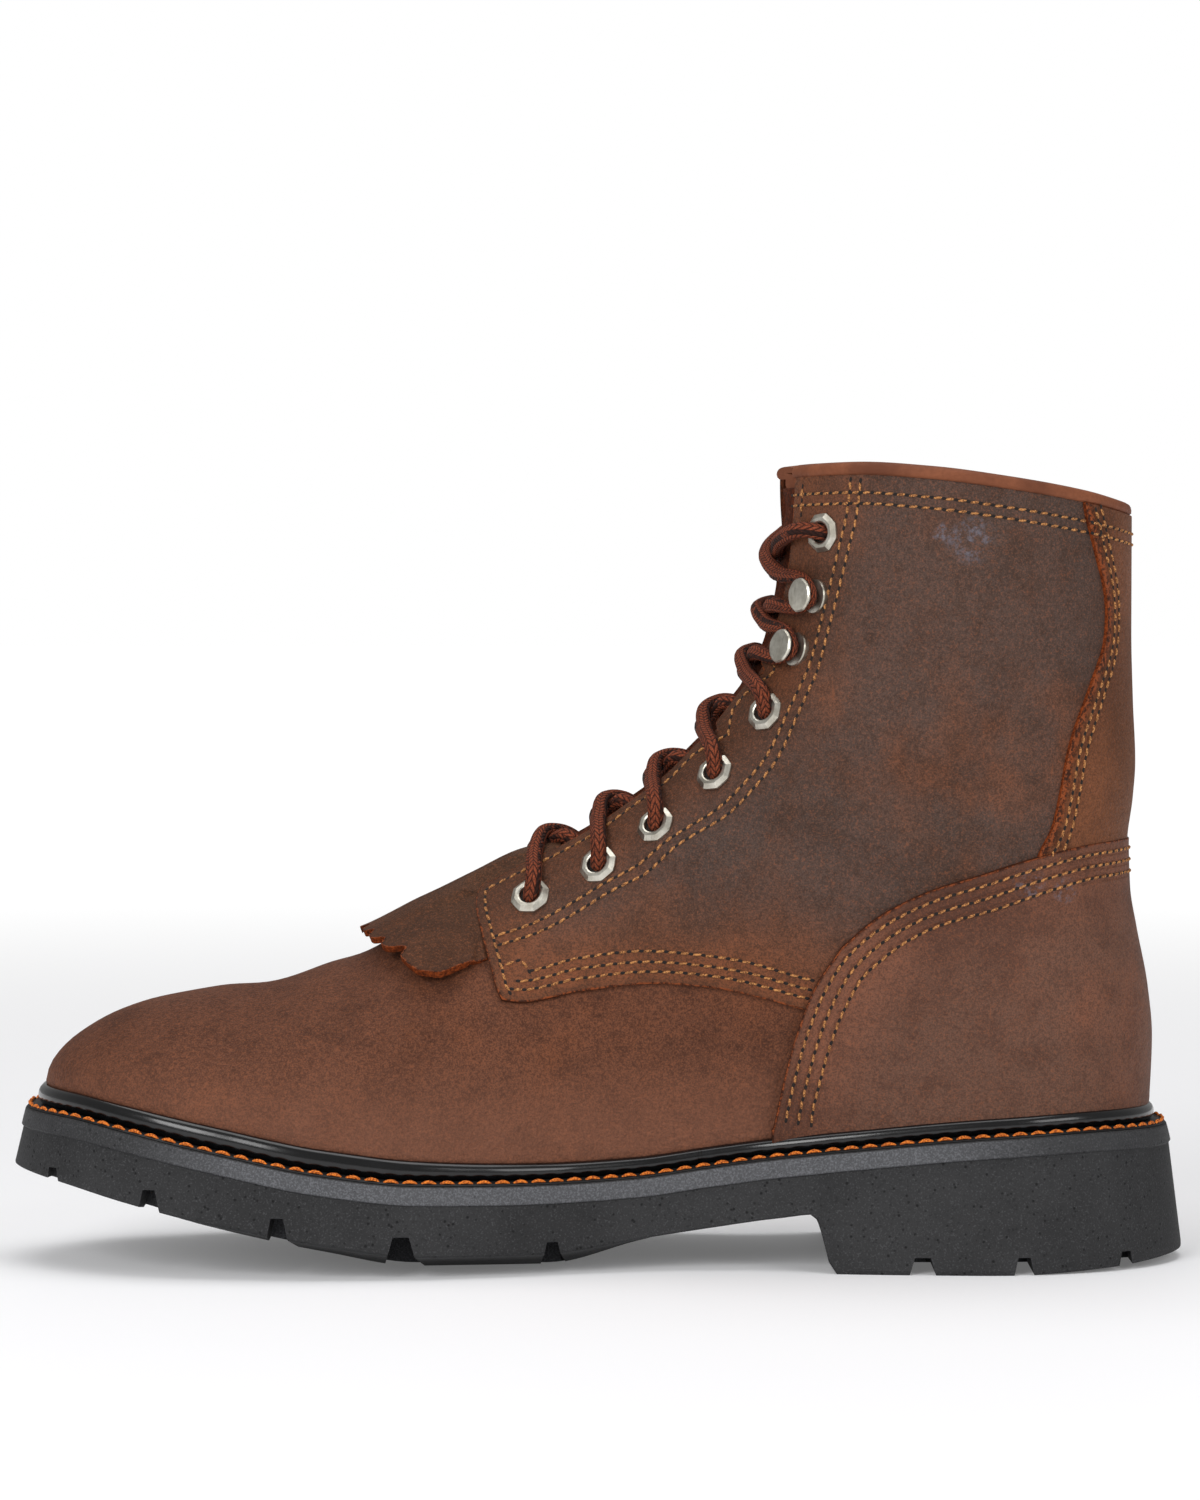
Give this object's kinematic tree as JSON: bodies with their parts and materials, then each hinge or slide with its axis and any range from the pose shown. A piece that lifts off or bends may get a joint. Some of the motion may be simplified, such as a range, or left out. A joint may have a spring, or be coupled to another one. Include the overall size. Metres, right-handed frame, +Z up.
{
  "type": "kiltie work boot",
  "caption": "Ankle-high lace-up work boot for the right foot, with a scalloped kiltie flap over the vamp, spool hooks and a lugged rubber sole with a low heel.",
  "frame": {"origin": "middle of the boot's footprint box, on the floor under the sole", "axes": "+Z up; -X towards the toe and +X towards the heel; -Y towards the medial (inner) side and +Y towards the lateral side"},
  "size_m": [0.3057, 0.1083, 0.2082],
  "materials": {
    "oiled_leather": "oiled and distressed, matt",
    "binding_leather": "soft folded binding, matt",
    "tongue_leather": "dark, matt",
    "sole_rubber": "matt moulded",
    "welt_rubber": "satin bead",
    "footbed": "matt",
    "nickel": "antique nickel",
    "lace_cord": "braided"
  },
  "bodies": {
    "root": {"outsole": "sole_rubber", "welt": "welt_rubber", "insole": "footbed", "upper": "oiled_leather", "quarter_medial": "oiled_leather", "quarter_lateral": "oiled_leather", "heel_counter": "oiled_leather", "backstay": "oiled_leather", "collar_binding": "binding_leather", "tongue": "tongue_leather", "kiltie": "oiled_leather", "eyelet_medial_1": "nickel", "eyelet_medial_2": "nickel", "eyelet_medial_3": "nickel", "eyelet_medial_4": "nickel", "eyelet_medial_5": "nickel", "eyelet_medial_6": "nickel", "eyelet_lateral_1": "nickel", "eyelet_lateral_2": "nickel", "eyelet_lateral_3": "nickel", "eyelet_lateral_4": "nickel", "eyelet_lateral_5": "nickel", "eyelet_lateral_6": "nickel", "hook_medial_1": "nickel", "hook_medial_2": "nickel", "hook_lateral_1": "nickel", "hook_lateral_2": "nickel", "lace_crossing_1": "lace_cord", "lace_crossing_2": "lace_cord", "lace_crossing_3": "lace_cord", "lace_crossing_4": "lace_cord", "lace_crossing_5": "lace_cord", "lace_crossing_6": "lace_cord", "lace_crossing_7": "lace_cord"}
  },
  "joints": []
}
